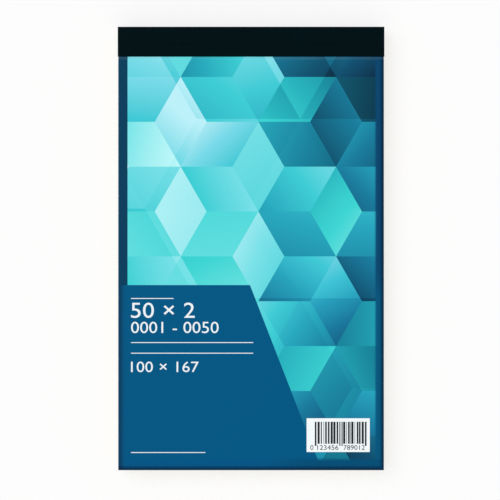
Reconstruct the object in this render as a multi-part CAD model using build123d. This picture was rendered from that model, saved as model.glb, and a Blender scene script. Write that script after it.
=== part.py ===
"""Duplicate receipt book, bound at the head.

Receipt sets, each a white original over a coloured copy, are wire stitched
between a printed card cover and a grey back board, and book tape wraps the head.
The original of a set tears off at a row of slits just below the tape. A loose
card shield lies under the set in use, so that writing marks that set alone.

Millimetres. The book lies on its back: +Z out of the front cover, +Y towards
the bound head, origin under the middle of the pad on the surface it lies on.
"""

import os

from build123d import *

# Trimmed format of the pad
book_width = 100.0
book_length = 167.0

# Receipt sets, counted from the front cover
set_count = 50
turning_sets = 6
single_sets = 22

# Paper, card and board
sheet_thickness = 0.07
sheet_gap = 0.01
cover_thickness = 0.30
board_thickness = 0.90

# Loose shield under the set in use
shield_thickness = 0.30
shield_side_margin = 0.5
shield_head_margin = 1.5

# Book tape round the head
tape_thickness = 0.20
tape_front_width = 11.25
tape_back_width = 11.0
tape_overhang = 0.2
tape_fold_radius = 0.15
tape_nip = 0.05
tape_ramp = 0.7

# Fold of the cover and tear line of the originals, both below the tape
crease_drop = 0.5
tear_line_drop = 3.0
slit_length = 4.4
slit_width = 0.4
tie_length = 1.6

# Flat wire staples
wire_width = 0.60
wire_height = 0.45
crown_width = 12.0
crown_bite = 0.25
inner_bend_radius = 0.15
clinch_length = 4.0
staple_head_margin = 5.5
staple_side_margin = 19.0
staple_clearance = 0.03

# Paper label on the front cover
label_width = 23.8
label_height = 12.7
label_thickness = 0.08
label_side_margin = 5.3
label_foot_margin = 6.85

# Lines across the book, from the foot to the head
foot_y = -book_length / 2
head_y = book_length / 2 - tape_thickness
tape_front_y = book_length / 2 - tape_front_width
tape_back_y = book_length / 2 - tape_back_width
crease_y = tape_front_y - crease_drop
tear_y = tape_front_y - tear_line_drop

# Heights of the layers, from the back to the front
board_low = tape_thickness - tape_nip
board_top = board_low + board_thickness
layer_pitch = sheet_thickness + sheet_gap
shield_step = shield_thickness + sheet_gap
working_set = turning_sets + 1


def layer_low(layer):
    """Underside of a sheet at the head, where the stitching holds the stack tight."""
    return board_top + sheet_gap + layer * layer_pitch


def copy_layer(number):
    """Place in the stack of the copy of one set, counted up from the back board."""
    return 2 * (set_count - number)


def original_layer(number):
    """Place in the stack of the original of one set, just over its copy."""
    return copy_layer(number) + 1


strip_low = layer_low(2 * set_count)
strip_top = strip_low + cover_thickness
tape_top = strip_top + tape_thickness
panel_low = strip_low + shield_step
panel_top = panel_low + cover_thickness
crown_top = strip_top + wire_height - crown_bite


def plate(width, low_y, high_y, thickness, low_z=0):
    """A flat sheet across the middle of the book."""
    outline = Rectangle(width, high_y - low_y)
    return Pos(0, (low_y + high_y) / 2, low_z) * extrude(outline, thickness)


def at_staples(shape):
    """A shape made on a staple's own axis, set at both staples."""
    staple_x = book_width / 2 - staple_side_margin - crown_width / 2
    staple_y = book_length / 2 - staple_head_margin
    return [Pos(side * staple_x, staple_y) * shape for side in (-1, 1)]


def wire_room(length, low_z, high_z):
    """Room for a straight length of staple wire, on the staple's own axis."""
    outline = Rectangle(length + 2 * staple_clearance, wire_width + 2 * staple_clearance)
    return Pos(0, 0, low_z) * extrude(outline, high_z - low_z)


def leg_holes(low_z, high_z):
    """The four holes that the staple legs pierce."""
    hole = wire_room(wire_height, low_z, high_z)
    leg_x = (crown_width - wire_height) / 2
    return at_staples(Pos(-leg_x) * hole) + at_staples(Pos(leg_x) * hole)


def make_back_board():
    """Grey board, pressed in a little under the tape and pitted by the clinched wire ends."""
    board = plate(book_width, foot_y, head_y, board_thickness, board_low)
    pressed = plate(book_width, tape_back_y, head_y, tape_nip, board_low)
    pit = wire_room(clinch_length, board_low, tape_thickness + wire_height + staple_clearance)
    pit_x = (crown_width - clinch_length) / 2
    pits = at_staples(Pos(-pit_x) * pit) + at_staples(Pos(pit_x) * pit)
    return board - pressed - pits - leg_holes(board_low, board_top)


def make_staples():
    """Two staples of flat wire: a crown on the cover, two legs, and both ends clinched inwards."""
    height = crown_top - tape_thickness
    loop = RectangleRounded(crown_width, height, inner_bend_radius + wire_height)
    loop -= RectangleRounded(crown_width - 2 * wire_height, height - 2 * wire_height, inner_bend_radius)
    loop -= Pos(0, -height / 2) * Rectangle(crown_width - 2 * clinch_length, height)
    wire = extrude(Plane.XZ * loop, wire_width / 2, both=True)
    return at_staples(Pos(0, 0, tape_thickness + height / 2) * wire)


def make_binding_tape():
    """Book tape folded square round the head, lifted over the crown of each staple."""
    front_flange = Pos((tape_front_y + book_length / 2) / 2, tape_top - tape_thickness / 2)
    back_flange = Pos((tape_back_y + book_length / 2) / 2, tape_thickness / 2)
    profile = front_flange * Rectangle(tape_front_width, tape_thickness)
    profile += back_flange * Rectangle(tape_back_width, tape_thickness)
    profile += Pos(head_y + tape_thickness / 2, tape_top / 2) * Rectangle(tape_thickness, tape_top)
    profile = fillet(profile.vertices().group_by(Axis.X)[-1], tape_fold_radius)
    tape = extrude(Plane.YZ * profile, book_width / 2 + tape_overhang, both=True)

    lift_length = crown_width + 2 * tape_thickness
    lift_width = wire_width + 2 * tape_thickness
    lift_foot = RectangleRounded(lift_length + 2 * tape_ramp, lift_width + 2 * tape_ramp, tape_ramp)
    lift_crest = RectangleRounded(lift_length, lift_width, tape_thickness)
    lift = loft([Pos(0, 0, tape_top) * lift_foot, Pos(0, 0, crown_top + tape_thickness) * lift_crest])
    crown_room = wire_room(crown_width, strip_top, crown_top + staple_clearance)
    return tape + at_staples(lift) - at_staples(crown_room)


def make_cover_strip():
    """The bound edge of the cover card, bitten by the staple crowns."""
    strip = plate(book_width, crease_y, head_y, cover_thickness, strip_low)
    bites = at_staples(wire_room(crown_width, strip_top - crown_bite, strip_top))
    return strip - bites - leg_holes(strip_low, strip_top)


def make_label():
    """A paper label stuck to the lower right of the cover."""
    label_x = book_width / 2 - label_side_margin - label_width / 2
    label_y = foot_y + label_foot_margin + label_height / 2
    outline = Rectangle(label_width, label_height)
    return Pos(label_x, label_y, panel_top) * extrude(outline, label_thickness)


def make_shield():
    """The loose card between the set in use and the sets below it."""
    shield_width = book_width - 2 * shield_side_margin
    shield_low = layer_low(copy_layer(working_set))
    return plate(shield_width, foot_y, tear_y - shield_head_margin, shield_thickness, shield_low)


def tear_slits():
    """The row of slits across an original, with ties of paper left between them."""
    pitch = slit_length + tie_length
    slit = extrude(Rectangle(slit_length, slit_width), sheet_thickness)
    places = GridLocations(pitch, pitch, int(book_width / pitch), 1)
    return [Pos(0, tear_y) * place * slit for place in places]


# Bound pieces of the case
nodes = {
    "back_board": [make_back_board()],
    "staples": make_staples(),
    "cover_strip": [make_cover_strip()],
    "binding_tape": [make_binding_tape()],
}

# Opening cover with its label, and the loose shield
nodes["front_cover"] = [plate(book_width, foot_y, crease_y, cover_thickness, panel_low)]
nodes["bar_label"] = [make_label()]
nodes["writing_shield"] = [make_shield()]

# One sheet of each kind, lying at height zero
whole_sheet = plate(book_width, foot_y, head_y, sheet_thickness) - leg_holes(0, sheet_thickness)
copy_leaf = plate(book_width, foot_y, tear_y, sheet_thickness)
copy_stub = plate(book_width, tear_y, head_y, sheet_thickness) - leg_holes(0, sheet_thickness)
original_leaf = copy_leaf - tear_slits()
original_stub = copy_stub - tear_slits()

# Sets down to the one in use: leaves that fold or tear at the tear line, and their bound stubs
nodes["original_stubs"] = []
nodes["copy_stubs"] = []
for number in range(1, working_set + 1):
    original_low = layer_low(original_layer(number))
    copy_low = layer_low(copy_layer(number))
    nodes[f"original_{number:02d}"] = [Pos(0, 0, original_low + shield_step) * original_leaf]
    nodes[f"copy_{number:02d}"] = [Pos(0, 0, copy_low + shield_step) * copy_leaf]
    nodes["original_stubs"].append(Pos(0, 0, original_low) * original_stub)
    nodes["copy_stubs"].append(Pos(0, 0, copy_low) * copy_stub)

# Sets under the shield: whole sheets, the upper ones one by one and the rest by kind
for number in range(working_set + 1, set_count + 1):
    if number <= single_sets:
        place = f"{number:02d}"
    else:
        place = f"{single_sets + 1:02d}_to_{set_count:02d}"
    original_sheet = Pos(0, 0, layer_low(original_layer(number))) * whole_sheet
    copy_sheet = Pos(0, 0, layer_low(copy_layer(number))) * whole_sheet
    nodes.setdefault(f"original_{place}", []).append(original_sheet)
    nodes.setdefault(f"copy_{place}", []).append(copy_sheet)

os.makedirs("parts", exist_ok=True)
for name, solids in nodes.items():
    export_step(Compound(children=solids), f"parts/{name}.step")
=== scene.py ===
"""Looks of a duplicate receipt book: printed card cover, black book tape, sheets, shield and board."""

import math
import random

import bmesh
import bpy
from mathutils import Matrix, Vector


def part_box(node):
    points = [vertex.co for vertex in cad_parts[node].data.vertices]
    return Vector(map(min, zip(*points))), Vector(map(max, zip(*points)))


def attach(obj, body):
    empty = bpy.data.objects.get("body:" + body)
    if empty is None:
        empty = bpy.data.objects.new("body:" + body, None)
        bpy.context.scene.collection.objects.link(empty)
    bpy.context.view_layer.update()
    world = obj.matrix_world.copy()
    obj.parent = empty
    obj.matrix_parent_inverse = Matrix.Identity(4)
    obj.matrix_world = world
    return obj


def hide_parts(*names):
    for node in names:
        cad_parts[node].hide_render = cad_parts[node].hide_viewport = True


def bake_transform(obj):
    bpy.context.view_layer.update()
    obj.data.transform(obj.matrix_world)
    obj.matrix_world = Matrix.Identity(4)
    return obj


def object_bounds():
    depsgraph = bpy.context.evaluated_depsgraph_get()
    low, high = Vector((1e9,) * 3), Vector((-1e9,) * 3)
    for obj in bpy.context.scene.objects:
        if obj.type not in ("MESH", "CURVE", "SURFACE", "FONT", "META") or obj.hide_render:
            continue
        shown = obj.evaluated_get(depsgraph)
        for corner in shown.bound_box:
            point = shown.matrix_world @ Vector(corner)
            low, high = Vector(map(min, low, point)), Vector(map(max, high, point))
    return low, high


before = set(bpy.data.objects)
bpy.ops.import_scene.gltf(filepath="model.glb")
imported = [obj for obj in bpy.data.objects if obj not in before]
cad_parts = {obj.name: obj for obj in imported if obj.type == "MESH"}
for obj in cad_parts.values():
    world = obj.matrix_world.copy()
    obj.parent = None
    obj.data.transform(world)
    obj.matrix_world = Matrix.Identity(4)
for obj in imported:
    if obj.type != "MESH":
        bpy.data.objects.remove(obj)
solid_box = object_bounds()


# Back board: thick grey board pulped from waste paper, cut flush with the sheets.
# It is stitched to the head with everything else, and its face shows flecks of fibre.
class Wire:
    """A socket of a finish: sums on it add Math nodes, and node() adds any other node."""

    def __init__(self, tree, socket=None):
        self.tree = tree
        self.socket = socket

    def node(self, kind, settings=None, sockets=None, output=0):
        """A new node, with its settings first and then its sockets' values or links."""
        made = self.tree.nodes.new("ShaderNode" + kind)
        for name, value in (settings or {}).items():
            if name == "stops":
                self.set_stops(made.color_ramp.elements, value)
            else:
                setattr(made, name, value)
        for key, value in (sockets or {}).items():
            if isinstance(value, Wire):
                self.tree.links.new(value.socket, made.inputs[key])
            else:
                made.inputs[key].default_value = value
        return Wire(self.tree, made.outputs[output])

    @staticmethod
    def set_stops(elements, stops):
        """The places and colours of a ramp, from its first stop to its last."""
        elements[0].position, elements[0].color = stops[0]
        elements[1].position, elements[1].color = stops[-1]
        for position, colour in stops[1:-1]:
            elements.new(position).color = colour

    def math(self, operation, *values):
        """A Math node on these values, in this order."""
        return self.node("Math", {"operation": operation}, dict(enumerate(values)))

    def __add__(self, other):
        return self.math("ADD", self, other)

    __radd__ = __add__

    def __sub__(self, other):
        return self.math("SUBTRACT", self, other)

    def __rsub__(self, other):
        return self.math("SUBTRACT", other, self)

    def __mul__(self, other):
        return self.math("MULTIPLY", self, other)

    __rmul__ = __mul__

    def __truediv__(self, other):
        return self.math("DIVIDE", self, other)

    def __rtruediv__(self, other):
        return self.math("DIVIDE", other, self)

    def __mod__(self, other):
        return self.math("FLOORED_MODULO", self, other)

    def __rmod__(self, other):
        return self.math("FLOORED_MODULO", other, self)

    def __neg__(self):
        return self.math("MULTIPLY", self, -1)

    def __gt__(self, other):
        return self.math("GREATER_THAN", self, other)

    def __lt__(self, other):
        return self.math("LESS_THAN", self, other)

    def __floor__(self):
        return self.math("FLOOR", self)

    def sine(self):
        return self.math("SINE", self)

    def __or__(self, other):
        """The greater of the two, which lays one mask over another."""
        return self.math("MAXIMUM", self, other)

    __ror__ = __or__

    def split(self):
        """The X, Y and Z of a vector."""
        made = self.node("SeparateXYZ", {}, {0: self}).socket.node
        return [Wire(self.tree, output) for output in made.outputs]

    def mix(self, first, second):
        """The first colour where this is 0, the second where it is 1."""
        return self.node("Mix", {"data_type": "RGBA"}, {0: self, 6: first, 7: second}, 2)

    def noise(self, scale, detail=3):
        """Cloudy values about a half, at this many blotches to a metre."""
        return self.node("TexNoise", {}, {"Vector": self, "Scale": scale, "Detail": detail})

    def feed(self, shader, socket):
        """Links this to a socket of the finish's shader."""
        self.tree.links.new(self.socket, shader.inputs[socket])


def ink(red, green, blue):
    """A colour picked on screen, 0 to 255, as the shader takes it."""
    linear = []
    for value in (red, green, blue):
        part = value / 255
        linear.append(part / 12.92 if part <= 0.04045 else ((part + 0.055) / 1.055) ** 2.4)
    return (*linear, 1)


def start_finish(name, roughness, specular):
    """A new finish: its material, its shader and a wire to begin its sums from."""
    material = bpy.data.materials.new(name)
    material.use_nodes = True
    shader = material.node_tree.nodes["Principled BSDF"]
    shader.inputs["Roughness"].default_value = roughness
    shader.inputs["Specular IOR Level"].default_value = specular
    return material, shader, Wire(material.node_tree)


def emboss(shader, height, depth, strength=1.0):
    """Raises the surface by this height, from 0 to 1, times a depth in metres."""
    sockets = {"Strength": strength, "Distance": depth, "Height": height}
    height.node("Bump", {}, sockets).feed(shader, "Normal")


def fibres(place, scale, fineness):
    """Thin curly fibres in pulped board or card, as values from 0 to 1, along the contours of a cloud."""
    aside = (place.noise(scale, detail=1) - 0.5) * fineness
    return ((1 - aside * aside) | 0.0) * (place.noise(1.7 * scale, detail=1) > 0.5)


def flecks(place, scale, reach, patch_scale, patch_level):
    """1 on the dark flecks of waste in board or card, which lie in loose patches, and 0 elsewhere."""
    specks = place.node("TexVoronoi", {}, {"Vector": place, "Scale": scale})
    return (specks < reach) * (place.noise(patch_scale) > patch_level)


def finish_node(name, material):
    """Gives a node that keeps its own shape its finish."""
    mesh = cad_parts[name].data
    mesh.materials.clear()
    mesh.materials.append(material)


grey_board, shader, wire = start_finish("grey_board", roughness=0.9, specular=0.25)
place = wire.node("TexCoord", output="Object")
pulp = place.noise(scale=420, detail=5)
mottle = place.noise(scale=60)
pale_fibres = fibres(place, scale=430, fineness=45)
dark_fibres = fibres(place, scale=610, fineness=50)
waste = flecks(place, scale=900, reach=0.16, patch_scale=500, patch_level=0.56)
board_tone = 0.05 + 0.7 * pulp + 0.2 * mottle + 0.30 * pale_fibres - 0.28 * dark_fibres
board_colour = board_tone.mix(ink(92, 89, 84), ink(160, 156, 148))
(0.55 * waste).mix(board_colour, ink(66, 60, 52)).feed(shader, "Base Color")
emboss(shader, pulp + 0.4 * pale_fibres, depth=0.00004)
finish_node("back_board", grey_board)


# Sets under the shield: whole white originals and yellow copies in turn, of thin copy paper.
# They were knocked up square, stitched at the head and trimmed, so their edges lie almost flush.
working_set = 7
last_single_set = 22
last_set = 50
sheet_x, head_y, sheet_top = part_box("original_08")[1]
foot_y, sheet_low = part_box("original_08")[0][1:]
sheet_thickness = sheet_top - sheet_low
layer_pitch = sheet_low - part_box("copy_08")[0][2]
trim_error = 0.00006


def start_paper(name):
    """A new finish with the matt surface of copy paper."""
    return start_finish(name, roughness=0.88, specular=0.2)


def paper_tooth(shader, place):
    """The fine tooth of uncoated paper."""
    emboss(shader, place.noise(scale=4000), depth=0.00001, strength=0.5)


def plain_paper(name, pale, deep):
    """Uncoated copy paper, a little cloudy, with a different tone on each cut edge of a stack."""
    material, shader, wire = start_paper(name)
    place = wire.node("TexCoord", output="Object")
    height = place.split()[2]
    layer = math.floor(height / layer_pitch)
    edge_tone = wire.node("TexWhiteNoise", {"noise_dimensions": "1D"}, {"W": layer})
    cloud = place.noise(scale=350, detail=4)
    (0.6 * cloud + 0.4 * edge_tone).mix(deep, pale).feed(shader, "Base Color")
    paper_tooth(shader, place)
    return material


block_papers = {
    "original": plain_paper("white_paper", ink(251, 251, 248), ink(230, 230, 225)),
    "copy": plain_paper("yellow_paper", ink(254, 238, 156), ink(243, 219, 122)),
}


def solid_mesh(name, points, faces, materials):
    """A new piece from points and faces, where a face is its corners and the number of its finish."""
    mesh = bpy.data.meshes.new(name)
    mesh.from_pydata(points, [], [corners for corners, _ in faces])
    for material in materials:
        mesh.materials.append(material)
    for polygon, (_, finish) in zip(mesh.polygons, faces):
        polygon.material_index = finish
    piece = bpy.data.objects.new(name, mesh)
    bpy.context.scene.collection.objects.link(piece)
    return piece


def ribbon(columns, rows, thickness, cut=None):
    """Points and faces of a thin sheet over a grid: columns are x, rows are (y, underside).

    Rows go up to the head. A cell for which cut(column, row) is true is left open, with its
    own cut edges. The upper face takes finish 0, the underside and the edges take finish 1.
    """
    points = []
    numbers = {}
    faces = []

    def point(column, row, side):
        key = (column, row, side)
        if key not in numbers:
            y, low = rows[row]
            numbers[key] = len(points)
            points.append((columns[column], y, low + side * thickness))
        return numbers[key]

    def filled(column, row):
        inside = 0 <= column < len(columns) - 1 and 0 <= row < len(rows) - 1
        return inside and not (cut and cut(column, row))

    for row in range(len(rows) - 1):
        for column in range(len(columns) - 1):
            if not filled(column, row):
                continue
            corners = [(column, row), (column + 1, row), (column + 1, row + 1), (column, row + 1)]
            faces.append(([point(*corner, 1) for corner in corners], 0))
            faces.append(([point(*corner, 0) for corner in reversed(corners)], 1))
            beyond = [(column, row - 1), (column + 1, row), (column, row + 1), (column - 1, row)]
            for side, neighbour in enumerate(beyond):
                if not filled(*neighbour):
                    first = corners[side]
                    second = corners[(side + 1) % 4]
                    wall = [point(*first, 0), point(*second, 0), point(*second, 1), point(*first, 1)]
                    faces.append((wall, 1))
    return points, faces


def add_solid(points, faces, more_points, more_faces):
    """Puts one more closed shape into a piece's points and faces."""
    start = len(points)
    points.extend(more_points)
    faces.extend(([start + corner for corner in corners], finish) for corners, finish in more_faces)


def bound_block(kind):
    """All the whole sheets of one kind, each trimmed a hair differently."""
    nodes = [f"{kind}_{number:02d}" for number in range(working_set + 1, last_single_set + 1)]
    nodes.append(f"{kind}_{last_single_set + 1}_to_{last_set}")
    hand = random.Random(kind)
    points = []
    faces = []
    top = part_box(nodes[0])[0][2]
    for layer in range(last_set - working_set):
        low = top - 2 * layer_pitch * layer
        left = -sheet_x + trim_error * hand.random()
        right = sheet_x - trim_error * hand.random()
        foot = foot_y + trim_error * hand.random()
        add_solid(points, faces, *ribbon([left, right], [(foot, low), (head_y, low)], sheet_thickness))
    block = solid_mesh(f"{kind}_block", points, faces, [block_papers[kind], block_papers[kind]])
    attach(block, "pad")
    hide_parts(*nodes)


bound_block("original")
bound_block("copy")


# Writing shield: a loose buff card, die cut a little narrower than the pad.
# It is pushed in under the set in use, so that the pen marks that set alone.
shield_card, shader, wire = start_finish("shield_card", roughness=0.8, specular=0.25)
place = wire.node("TexCoord", output="Object")
cloud = place.noise(scale=180, detail=5)
grain = place.noise(scale=1500)
pale_fibres = fibres(place, scale=520, fineness=45)
waste = flecks(place, scale=700, reach=0.13, patch_scale=420, patch_level=0.57)
card_tone = 0.4 * cloud + 0.55 * grain + 0.28 * pale_fibres
card_colour = card_tone.mix(ink(196, 160, 108), ink(232, 204, 156))
(0.5 * waste).mix(card_colour, ink(140, 104, 62)).feed(shader, "Base Color")
emboss(shader, grain + 0.4 * pale_fibres, depth=0.00003)
finish_node("writing_shield", shield_card)


# Set in use: the original tears off at its row of slits, and the copy under it stays in the book.
# Both are copy paper with a printed form, and a numbering box has stamped both in red.
tear_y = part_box("original_07")[1][1]
stub_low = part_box("original_stubs")[0][2]
shield_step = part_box("original_07")[0][2] - stub_low
rise_above = 0.0020
rise_below = 0.0010
rise_steps = 4
slit_length = 0.0024
slit_width = 0.00030
tie_length = 0.0009
fold_above = 0.0001
fold_below = 0.0022
fold_steps = 12
form_ink = ink(22, 96, 132)
print_map = "place"
bake_map = "OFBake"


def map_print(sheet):
    """Gives a printed sheet two maps: the layout that it is baked through, and the place of its print.

    The layout has most room for the upper face and less for the underside. The cut edges have two
    strips, wider than they are, so that they keep their own colour.
    """
    face_room = (0.005, 0.705)
    under_room = (0.715, 0.935)
    side_room = (0.945, 0.965)
    end_room = (0.975, 0.995)
    height_room = (0.005, 0.995)

    def within(room, share):
        return room[0] + (room[1] - room[0]) * share

    mesh = sheet.data
    for name in (bake_map, print_map):
        mesh.uv_layers.new(name=name)
    layout = mesh.uv_layers[bake_map].data
    places = mesh.uv_layers[print_map].data
    low_y = min(vertex.co.y for vertex in mesh.vertices)
    high_y = max(vertex.co.y for vertex in mesh.vertices)
    for polygon in mesh.polygons:
        for corner, loop in enumerate(polygon.loop_indices):
            x, y, _ = mesh.vertices[mesh.loops[loop].vertex_index].co
            across = (x + sheet_x) / (2 * sheet_x)
            up = (y - low_y) / (high_y - low_y)
            upper_side = corner // 2
            if polygon.normal.z > 0.5:
                spot = (within(face_room, across), up)
            elif polygon.normal.z < -0.5:
                spot = (within(under_room, across), up)
            elif abs(polygon.normal.x) > 0.5:
                spot = (within(side_room, upper_side), up)
            else:
                spot = (within(end_room, upper_side), across)
            layout[loop].uv = (spot[0], within(height_room, spot[1]))
            places[loop].uv = (x, y)


def print_place(wire):
    """The place on a sheet's own map, which stays with the sheet when it bends."""
    return wire.node("UVMap", {"uv_map": print_map})


def millimetres(place):
    """The x and y of a place on the print, in millimetres."""
    scaled = place.node("VectorMath", {"operation": "SCALE"}, {0: place, "Scale": 1000.0})
    return scaled.split()[:2]


def area(x, y, left, right, low, high):
    """1 inside a rectangle of the print, 0 outside it."""
    return (x > left) * (x < right) * (y > low) * (y < high)


def outline(x, y, left, right, low, high, line):
    """The printed frame of a rectangle."""
    inner = area(x, y, left + line, right - line, low + line, high - line)
    return area(x, y, left, right, low, high) - inner


def ruling(x, y, left, right, low, high, pitch, line):
    """Printed rules at an even pitch up from the lowest."""
    return area(x, y, left, right, low, high + line) * (((y - low) % pitch) < line)


def receipt_form(x, y):
    """The printed lines of a receipt form, and its two tinted fields, laid out in millimetres."""
    fine = 0.15
    hair = 0.28
    firm = 0.35
    bold = 0.50
    left = -43.0
    right = 43.0
    box_low = 42.0
    box_high = 62.0
    date_left = 4.0
    date_high = 51.0
    table_low = -43.0
    table_high = 6.0
    price_left = 18.0
    total_low = -52.0

    lines = outline(x, y, left, 0, box_low, box_high, hair)
    lines = lines | ruling(x, y, -40, -3, 46, 58, pitch=4, line=fine)
    lines = lines | outline(x, y, date_left, right, 53.5, box_high, hair)
    lines = lines | outline(x, y, date_left, right, box_low, date_high, hair)
    for date_x in (17, 30):
        lines = lines | area(x, y, date_x, date_x + hair, box_low, date_high)
    lines = lines | ruling(x, y, left, right, 12, 36, pitch=8, line=hair)

    lines = lines | outline(x, y, left, right, table_low, table_high, firm)
    lines = lines | ruling(x, y, left, right, table_low, 0, pitch=7, line=hair)
    for column_x, column_low in ((-29, table_low), (price_left, total_low), (36, total_low)):
        lines = lines | area(x, y, column_x, column_x + hair, column_low, table_high)
    lines = lines | outline(x, y, price_left, right, total_low, table_low + firm, bold)

    dashes = ((x + y) % 2.0) < 1.2
    lines = lines | outline(x, y, left, -15, -75, -50, hair) * dashes
    lines = lines | area(x, y, -6, right, -72, -72 + hair)

    table_head = area(x, y, left, right, -0.8, table_high)
    total = area(x, y, price_left, right, total_low, table_low)
    return lines, table_head | total


def form_face(name, pale, deep):
    """Copy paper with a receipt form printed on its face."""
    material, shader, wire = start_paper(name)
    place = print_place(wire)
    lines, tint = receipt_form(*millimetres(place))
    paper = place.noise(scale=350, detail=4).mix(deep, pale)
    tinted = (0.14 * tint).mix(paper, form_ink)
    uneven_ink = 0.80 + 0.25 * place.noise(scale=5000, detail=2)
    (lines * uneven_ink).mix(tinted, form_ink).feed(shader, "Base Color")
    paper_tooth(shader, place)
    return material


def leaf_back(name, pale, deep):
    """The back and the cut edges of a leaf. The form shows through the thin paper a little."""
    material, shader, wire = start_paper(name)
    place = print_place(wire)
    lines, tint = receipt_form(*millimetres(place))
    cloud = 0.7 * place.noise(scale=350, detail=4) + 0.3 * place.noise(scale=2200, detail=2)
    paper = cloud.mix(deep, pale)
    show_through = (0.10 * lines) | (0.025 * tint)
    show_through.mix(paper, form_ink).feed(shader, "Base Color")
    paper_tooth(shader, place)
    return material


sheet_colours = {
    "original": ("white", ink(252, 252, 249), ink(240, 240, 236)),
    "copy": ("yellow", ink(254, 239, 160), ink(248, 228, 138)),
}
sheet_finishes = {}
for kind, (colour_name, pale, deep) in sheet_colours.items():
    face = form_face(f"{colour_name}_form", pale, deep)
    sheet_finishes[kind] = [face, leaf_back(f"{colour_name}_back", pale, deep)]


def slit_columns():
    """Both ends of each slit across the sheet, between the two sides of the sheet."""
    pitch = slit_length + tie_length
    count = int(2 * sheet_x / pitch)
    first = -(count - 1) / 2 * pitch
    ends = [-sheet_x]
    for slit in range(count):
        middle = first + slit * pitch
        ends += [middle - slit_length / 2, middle + slit_length / 2]
    return ends + [sheet_x]


def ease(share):
    """A soft step from 0 to 1, level at both ends."""
    share = min(max(share, 0), 1)
    return share * share * (3 - 2 * share)


def sheet_row(y, low):
    """A row of a sheet that climbs from its bound head on to the shield."""
    climbed = (tear_y + rise_above - y) / (rise_above + rise_below)
    return (y, low + shield_step * ease(climbed))


def sheet_rows(low, bottom, top):
    """Rows of a sheet from bottom to top, close together where it climbs and folds."""
    fold = fold_above + fold_below
    steps = {fold_above - fold * step / fold_steps for step in range(fold_steps + 1)}
    steps |= {rise_above * step / rise_steps for step in range(rise_steps + 1)}
    steps |= {-slit_width / 2, slit_width / 2}
    between = [tear_y + step for step in sorted(steps) if bottom < tear_y + step < top]
    return [sheet_row(y, low) for y in [bottom, *between, top]]


def make_sheet(name, kind, low, bottom, top):
    """One sheet or part of a sheet. Originals have their slits cut where they cross it."""
    rows = sheet_rows(low, bottom, top)
    columns = [-sheet_x, sheet_x]
    cut = None
    if kind == "original":
        columns = slit_columns()

        def cut(column, row):
            middle = (rows[row][0] + rows[row + 1][0]) / 2
            return column % 2 == 1 and abs(middle - tear_y) < slit_width / 2

    sheet = solid_mesh(name, *ribbon(columns, rows, sheet_thickness, cut), sheet_finishes[kind])
    map_print(sheet)
    return sheet


def numeral_shape(text, size, left, low, under, thickness):
    """Points and faces of plain numerals, size = (width, height), standing on the line y = low."""
    curve = bpy.data.curves.new("numerals", "FONT")
    curve.body = text
    curve.resolution_u = 4
    # Any depth will do here, because the points are set at their true heights below.
    curve.extrude = 0.05
    shape = bpy.data.objects.new("numerals", curve)
    bpy.context.scene.collection.objects.link(shape)
    bpy.context.view_layer.update()
    ready = shape.evaluated_get(bpy.context.evaluated_depsgraph_get())
    flat = bpy.data.meshes.new_from_object(ready)
    bpy.data.objects.remove(shape)
    bpy.data.curves.remove(curve)
    form = bmesh.new()
    form.from_mesh(flat)
    bpy.data.meshes.remove(flat)
    bmesh.ops.remove_doubles(form, verts=form.verts, dist=0.0001)
    bmesh.ops.recalc_face_normals(form, faces=form.faces)
    form.verts.index_update()
    across = [vert.co.x for vert in form.verts]
    up = [vert.co.y for vert in form.verts]
    wide = size[0] / (max(across) - min(across))
    tall = size[1] / (max(up) - min(up))
    points = []
    for vert in form.verts:
        x = left + (vert.co.x - min(across)) * wide
        y = low + (vert.co.y - min(up)) * tall
        points.append((x, y, under + (thickness if vert.co.z > 0 else 0)))
    faces = [([vert.index for vert in face.verts], 0) for face in form.faces]
    form.free()
    return points, faces


def mottled_finish(name, pale, deep, scale, roughness, specular):
    """A finish that wavers between two like colours, as printing ink does on paper."""
    material, shader, wire = start_finish(name, roughness, specular)
    place = wire.node("TexCoord", output="Object")
    place.noise(scale).mix(deep, pale).feed(shader, "Base Color")
    return material


red_pale = ink(206, 58, 52)
red_deep = ink(150, 24, 26)
red_ink = mottled_finish("numbering_ink", red_pale, red_deep, scale=2600, roughness=0.7, specular=0.2)
number_size = (0.0135, 0.0042)
number_left = 0.024
number_low = 0.0557
ink_clearance = 0.000001
ink_thickness = 0.000004


def stamp_number(kind, number, body):
    """The set's number, stamped in red in the form's upper right box."""
    leaf = f"{kind}_{number:02d}"
    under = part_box(leaf)[1][2] + ink_clearance
    shape = numeral_shape(f"{number:04d}", number_size, number_left, number_low, under, ink_thickness)
    stamp = solid_mesh(f"{leaf}_number", *shape, [red_ink])
    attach(stamp, body)


copy_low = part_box("copy_07")[0][2] - shield_step
bound_copy = make_sheet("copy_07_sheet", "copy", copy_low, foot_y, head_y)
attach(bound_copy, "pad")
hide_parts("copy_07", "copy_stubs")
stamp_number("copy", working_set, "pad")
torn_leaf = make_sheet("original_07_leaf", "original", stub_low, foot_y, tear_y)
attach(torn_leaf, "original_07")
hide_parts("original_07")
stamp_number("original", working_set, "original_07")
torn_stub = make_sheet("original_07_stub", "original", stub_low, tear_y, head_y)
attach(torn_stub, "pad")
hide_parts("original_stubs")


# Turning sets: six more sets of the same two sheets, over the set in use.
# Each sheet is whole: it is held in the head by the stitching and folds back at its tear line.
for number in range(working_set - 1, 0, -1):
    for kind in ("copy", "original"):
        leaf = f"{kind}_{number:02d}"
        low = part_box(leaf)[0][2] - shield_step
        sheet = make_sheet(f"{leaf}_sheet", kind, low, foot_y, head_y)
        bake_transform(sheet)
        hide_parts(leaf, f"{kind}_stubs")
        stamp_number(kind, number, leaf)


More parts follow.
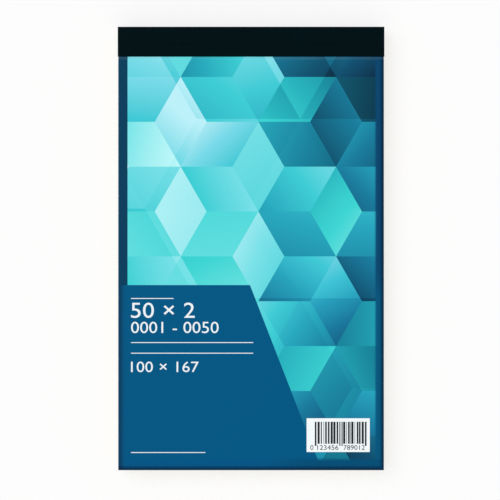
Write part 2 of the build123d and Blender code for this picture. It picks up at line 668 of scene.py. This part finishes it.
# Front cover: one piece of coated white card, printed on its outer face only.
# Its bound edge is stitched under the tape, and it is scored to fold just below the tape.
crease_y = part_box("front_cover")[1][1]
panel_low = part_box("front_cover")[0][2]
panel_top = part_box("front_cover")[1][2]
strip_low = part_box("cover_strip")[0][2]
cover_thickness = panel_top - panel_low
climb_above = 0.0004
climb_below = 0.0010
climb_steps = 14


def cover_row(y):
    """A row of the cover, which climbs from its bound edge to lie flat on the sheets."""
    climbed = (crease_y + climb_above - y) / (climb_above + climb_below)
    return (y, strip_low + (panel_low - strip_low) * ease(climbed))


def lozenges(x, y, side):
    """The lozenge of a tumbling-block pattern at each point: its middle, and which way it lies.

    Three lozenges make a hexagon. A lozenge is two triangles of an even triangle grid, and the
    difference of a grid corner's two counts, taken in threes, says which two belong together.
    """
    grid_row = y * (2 / math.sqrt(3) / side)
    grid_column = x / side - 0.5 * grid_row
    column = math.floor(grid_column)
    row = math.floor(grid_row)
    second_half = (grid_column - column + (grid_row - row)) > 1.0
    turn = (column - row) % 3.0
    lies_first = turn < 0.5
    lies_third = turn > 1.5
    lies_second = 1 - lies_first - lies_third
    shift = (1 - lies_third) * second_half
    middle_column = column + 0.5 * (shift + lies_first + lies_third)
    middle_row = row + 0.5 * (shift + lies_second + lies_third)
    middle_x = (middle_column + 0.5 * middle_row) * side
    middle_y = middle_row * (side * math.sqrt(3) / 2)
    stands = 1 - 2 * (middle_row % 1.0)
    leans = 1 - 2 * (middle_column % 1.0)
    return middle_x, middle_y, stands, leans


def chance(x, y, draw):
    """Three chance values from 0 to 1 for each lozenge, by its middle. Another draw gives others."""
    spot = x.node("CombineXYZ", {}, {0: x, 1: y, 2: draw})
    return spot.node("TexWhiteNoise", {}, {"Vector": spot}, "Color").split()


def oval(x, y, middle, reach):
    """1 at the middle of an oval, falling to 0 at its rim."""
    across = (x - middle[0]) / reach[0]
    up = (y - middle[1]) / reach[1]
    return (1 - across * across - up * up) | 0.0


def soft_step(value, start, end):
    """0 up to start, 1 from end, and a soft step between them."""
    sockets = {"Value": value, "From Min": start, "From Max": end}
    return value.node("MapRange", {"interpolation_type": "SMOOTHSTEP"}, sockets)


def mosaic(x, y):
    """Tumbling blocks in soft tones over fainter ones twice as large, paler at the left, in millimetres."""
    block_side = 19.5
    block_shift = (7.0, 3.0)
    wide_side = 39.0
    wide_shift = (1.0, -15.0)
    middle_tone = 0.655
    fade_across = 0.0045
    tones = [
        (0.00, ink(8, 44, 66)),
        (0.16, ink(14, 84, 112)),
        (0.34, ink(24, 128, 158)),
        (0.50, ink(38, 168, 190)),
        (0.66, ink(62, 206, 215)),
        (0.82, ink(122, 224, 234)),
        (1.00, ink(190, 245, 252)),
    ]
    across = x + block_shift[0]
    up = y + block_shift[1]
    middle_x, middle_y, stands, leans = lozenges(across, up, block_side)
    chance_tone, chance_slope, chance_turn = chance(middle_x, middle_y, draw=4.0)
    slope = (across - middle_x) * (chance_slope - 0.5) + (up - middle_y) * (chance_turn - 0.3)
    deep_head = oval(middle_x, middle_y, middle=(54.0, 72.0), reach=(42.0, 48.0))
    deep_foot = oval(middle_x, middle_y, middle=(34.0, -92.0), reach=(60.0, 46.0))
    wide_x, wide_y, _, _ = lozenges(x + wide_shift[0], y + wide_shift[1], wide_side)
    wide_tone = chance(wide_x, wide_y, draw=9.0)[0]
    tone = middle_tone - fade_across * middle_x - 0.34 * (deep_head + deep_foot)
    tone = tone + 0.30 * (chance_tone - 0.5) + 0.05 * (stands - leans) + 0.020 * slope
    tone = tone + 0.16 * (wide_tone - 0.5)
    colour = tone.node("ValToRGB", {"stops": tones}, {0: tone})
    hue = 0.478 + 0.036 * chance_turn
    return colour.node("HueSaturation", {}, {"Hue": hue, "Color": colour})


def bordered(colour, x, y):
    """The mosaic with the plain panel and the borders printed over it, and painted shade darkening the
    cover's edges, in millimetres.
    """
    panel_high = -13.8
    slant = 0.388
    slant_x = -5.75
    panel = (y < panel_high) * ((x + slant * y) < slant_x)
    colour = panel.mix(colour, ink(0, 88, 132))
    left_border = (x < -46.5) * (y > panel_high)
    colour = left_border.mix(colour, ink(8, 63, 93))
    right_ink = soft_step(y, -22.0, -6.0).mix(ink(4, 86, 126), ink(8, 70, 110))
    colour = soft_step(x, 46.2, 47.4).mix(colour, right_ink)
    foot_ink = soft_step(x, 0.0, 25.0).mix(ink(1, 86, 134), ink(2, 78, 118))
    colour = soft_step(-y, 78.4, 80.2).mix(colour, foot_ink)
    # Painted shade: a darker band along the cover's left edge over the panel, and along its right edge and
    # its foot.
    left_edge_shade = (1 - soft_step(x, -49.6, -47.2)) * (y < panel_high)
    colour = left_edge_shade.mix(colour, ink(10, 62, 98))
    edge_shade = soft_step(x, 48.1, 49.5) | soft_step(-y, 81.4, 83.0)
    return (0.8 * edge_shade).mix(colour, ink(2, 34, 60))


cover_print, shader, wire = start_finish("cover_print", roughness=0.42, specular=0.03)
place = print_place(wire)
x, y = millimetres(place)
colour = bordered(mosaic(x, y), x, y)
crease = crease_y * 1000
# Painted highlight: a faint pale band along the score just below the tape, blotchy along its length.
score_highlight = soft_step(y, crease - 0.9, crease - 0.3) * (1 - soft_step(y, crease + 0.2, crease + 0.5))
painted_highlight = score_highlight * (0.01 + 0.06 * place.noise(scale=260, detail=4))
colour = painted_highlight.mix(colour, ink(178, 206, 210))
screen = 0.92 + 0.16 * place.noise(scale=2500, detail=2)
colour = colour.node("VectorMath", {"operation": "SCALE"}, {0: colour, "Scale": screen})
colour.feed(shader, "Base Color")
(0.38 + 0.12 * place.noise(scale=300)).feed(shader, "Roughness")
emboss(shader, place.noise(scale=900), depth=0.000006)

card_white, shader, wire = start_finish("card_white", roughness=0.8, specular=0.25)
place = print_place(wire)
cloud = 0.6 * place.noise(scale=160, detail=4) + 0.4 * place.noise(scale=1800)
cloud.mix(ink(226, 225, 219), ink(246, 246, 242)).feed(shader, "Base Color")
emboss(shader, place.noise(scale=1200), depth=0.00001)

climb = climb_above + climb_below
cover_ys = [foot_y]
cover_ys += [crease_y - climb_below + climb * step / climb_steps for step in range(climb_steps + 1)]
cover_ys += [head_y]
cover_shape = ribbon([-sheet_x, sheet_x], [cover_row(y) for y in cover_ys], cover_thickness)
cover = solid_mesh("cover_card", *cover_shape, [cover_print, card_white])
map_print(cover)
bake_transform(cover)
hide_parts("front_cover", "cover_strip")

white_pale = ink(250, 253, 254)
white_deep = ink(226, 240, 246)
white_ink = mottled_finish("white_ink", white_pale, white_deep, scale=1500, roughness=0.45, specular=0.1)
print_thickness = 0.00002
print_left = -0.0452
rule_line = 0.0003


def printed_bar(left, right, low, high, under):
    """Points and faces of one printed bar."""
    points, faces = ribbon([left, right], [(low, under), (high, under)], print_thickness)
    return points, [(corners, 0) for corners, _ in faces]


points = []
faces = []
for text, size, low in (
    ("50 × 2", (0.0240, 0.0058), -0.0262),
    ("0001 - 0050", (0.0330, 0.0043), -0.0319),
    ("100 × 167", (0.0255, 0.0040), -0.0466),
):
    add_solid(points, faces, *numeral_shape(text, size, print_left, low, panel_top, print_thickness))
for low, length in ((-0.0190, 0.016), (-0.0356, 0.046), (-0.0396, 0.046), (-0.0770, 0.028)):
    rule = printed_bar(print_left, print_left + length, low, low + rule_line, panel_top)
    add_solid(points, faces, *rule)
cover_numerals = solid_mesh("cover_numerals", points, faces, [white_ink])
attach(cover_numerals, "cover")


# Label: white coated paper, stuck to the lower right of the cover.
# It is printed in black with a row of bars and the figures under them.
coat_pale = ink(250, 254, 254)
coat_deep = ink(240, 249, 251)
label_paper = mottled_finish("label_paper", coat_pale, coat_deep, scale=500, roughness=0.5, specular=0.15)
finish_node("bar_label", label_paper)

black_pale = ink(46, 50, 56)
black_deep = ink(16, 18, 22)
black_ink = mottled_finish("black_ink", black_pale, black_deep, scale=2000, roughness=0.6, specular=0.1)
label_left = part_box("bar_label")[0][0]
label_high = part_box("bar_label")[1][1]
label_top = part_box("bar_label")[1][2]
module = 0.000205
module_count = 95
middle_guards = range(45, 51)
guard_drop = 0.0008
bar_height = 0.0083
bar_side_margin = 0.0031
bar_head_margin = 0.0013
bars_left = label_left + bar_side_margin
bars_high = label_high - bar_head_margin
bars_low = bars_high - bar_height
hand = random.Random(12)
points = []
faces = []
start = 0
while start < module_count:
    width = hand.choice((1, 2, 2, 3, 4))
    gap = hand.choice((1, 2, 2, 3))
    width = min(width, module_count - start)
    guard = start == 0 or start in middle_guards or start + width + gap >= module_count
    low = bars_low - (guard_drop if guard else 0)
    left = bars_left + start * module
    right = bars_left + (start + width) * module
    add_solid(points, faces, *printed_bar(left, right, low, bars_high, label_top))
    start += width + gap
figure_drop = 0.0023
single_size = (0.0012, 0.0018)
group_size = (0.0080, 0.0018)
figure_low = bars_low - figure_drop
for text, size, left in (
    ("0", single_size, label_left + 0.0014),
    ("123456", group_size, bars_left + 0.0009),
    ("789012", group_size, bars_left + 0.0108),
):
    add_solid(points, faces, *numeral_shape(text, size, left, figure_low, label_top, print_thickness))
label_print = solid_mesh("label_bars", points, faces, [black_ink])
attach(label_print, "cover")


# Staples: flat galvanised wire, driven through the whole head and clinched against the board.
# The tape covers both their crowns and their clinched ends.
staple_wire, shader, wire = start_finish("staple_wire", roughness=0.32, specular=0.5)
shader.inputs["Metallic"].default_value = 1.0
place = wire.node("TexCoord", output="Object")
drawn = place.node("Mapping", {}, {"Vector": place, "Scale": (60.0, 4000.0, 4000.0)})
streak = drawn.noise(scale=1, detail=2)
streak.mix(ink(150, 152, 156), ink(206, 208, 212)).feed(shader, "Base Color")
(0.26 + 0.18 * streak).feed(shader, "Roughness")
finish_node("staples", staple_wire)


# Binding tape: black embossed paper tape, glued over the front, the head and the back board.
# It was rolled down over the stitching, so the staple crowns show as low bumps.
tape_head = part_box("binding_tape")[1][1]
tape_thickness = tape_head - head_y
tape_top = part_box("cover_strip")[1][2] + tape_thickness
highlight_width = 0.00015
highlight_height = 0.00012
thread_pitch = 0.00055
thread_turn = 2 * math.pi / thread_pitch
book_tape, shader, wire = start_finish("book_tape", roughness=0.55, specular=0.02)
place = wire.node("TexCoord", output="Object")
x, y, z = place.split()
linen = (x * thread_turn).sine() * ((y + z) * thread_turn).sine()
crush = place.noise(scale=1500, detail=4)
cloud = place.noise(scale=90)
# Painted highlight: a thin pale line along the tape's head fold, blotchy along its length.
head_fold_highlight = (y > tape_head - highlight_width) * (z > tape_top - highlight_height)
painted_highlight = head_fold_highlight * (0.35 + 0.65 * place.noise(scale=700, detail=4))
tape_colour = (0.5 * crush + 0.5 * cloud).mix(ink(0, 9, 12), ink(0, 20, 26))
(0.35 * painted_highlight).mix(tape_colour, ink(120, 130, 134)).feed(shader, "Base Color")
(0.44 + 0.22 * crush + 0.04 * linen).feed(shader, "Roughness")
emboss(shader, 0.5 * linen + 1.6 * crush, depth=0.00003)
finish_node("binding_tape", book_tape)


# Stage: a pale floor that glows a little where it is seen, so that it stays white round the shadow.
# Soft light comes from all round and from one large lamp, and the camera looks straight down.
def looked_at(wire):
    """1 where the eye, a shine or glass shows this surface, 0 where it only lights the object."""
    seen = wire.node("LightPath", output="Is Camera Ray")
    mirrored = wire.node("LightPath", output="Is Glossy Ray")
    passed = wire.node("LightPath", output="Is Transmission Ray")
    return seen | mirrored | passed


bpy.context.scene.view_settings.view_transform = "Standard"
floor_half = 4.0
floor_thickness = 0.001
floor_gap = 0.00005
floor_low = solid_box[0][2] - floor_gap - floor_thickness
floor_glow = 0.62
floor_white, shader, wire = start_finish("floor_white", roughness=0.9, specular=0.0)
shader.inputs["Base Color"].default_value = (0.97, 0.97, 0.97, 1)
glow = wire.node("Emission", {}, {"Color": (1, 1, 1, 1), "Strength": 1.0})
shaded = Wire(wire.tree, shader.outputs[0])
both = wire.node("MixShader", {}, {0: floor_glow * looked_at(wire), 1: shaded, 2: glow})
both.feed(wire.tree.nodes["Material Output"], "Surface")
floor_rows = [(-floor_half, floor_low), (floor_half, floor_low)]
floor_shape = ribbon([-floor_half, floor_half], floor_rows, floor_thickness)
floor = solid_mesh("floor", *floor_shape, [floor_white, floor_white])

sky_light = 0.66
world = bpy.data.worlds.new("studio")
bpy.context.scene.world = world
world.use_nodes = True
backdrop = world.node_tree.nodes["Background"]
backdrop.inputs["Color"].default_value = (1, 1, 1, 1)
sky = Wire(world.node_tree)
(sky_light + (1 - sky_light) * looked_at(sky)).feed(backdrop, "Strength")

lamp_light = bpy.data.lights.new("lamp", "SUN")
lamp_light.energy = 1.15
lamp_light.angle = math.radians(50)
lamp = bpy.data.objects.new("lamp", lamp_light)
lamp.rotation_euler = (math.radians(-16), math.radians(-24), 0)
bpy.context.scene.collection.objects.link(lamp)

lens = 100.0
sensor = 36.0
view_height = 0.18825
view_x = -0.0004
view_y = -0.0006
camera_data = bpy.data.cameras.new("camera")
camera_data.lens = lens
camera_data.sensor_width = sensor
camera_data.clip_start = 0.01
camera = bpy.data.objects.new("camera", camera_data)
camera.location = (view_x, view_y, panel_top + view_height * lens / sensor)
bpy.context.scene.collection.objects.link(camera)
bpy.context.scene.camera = camera
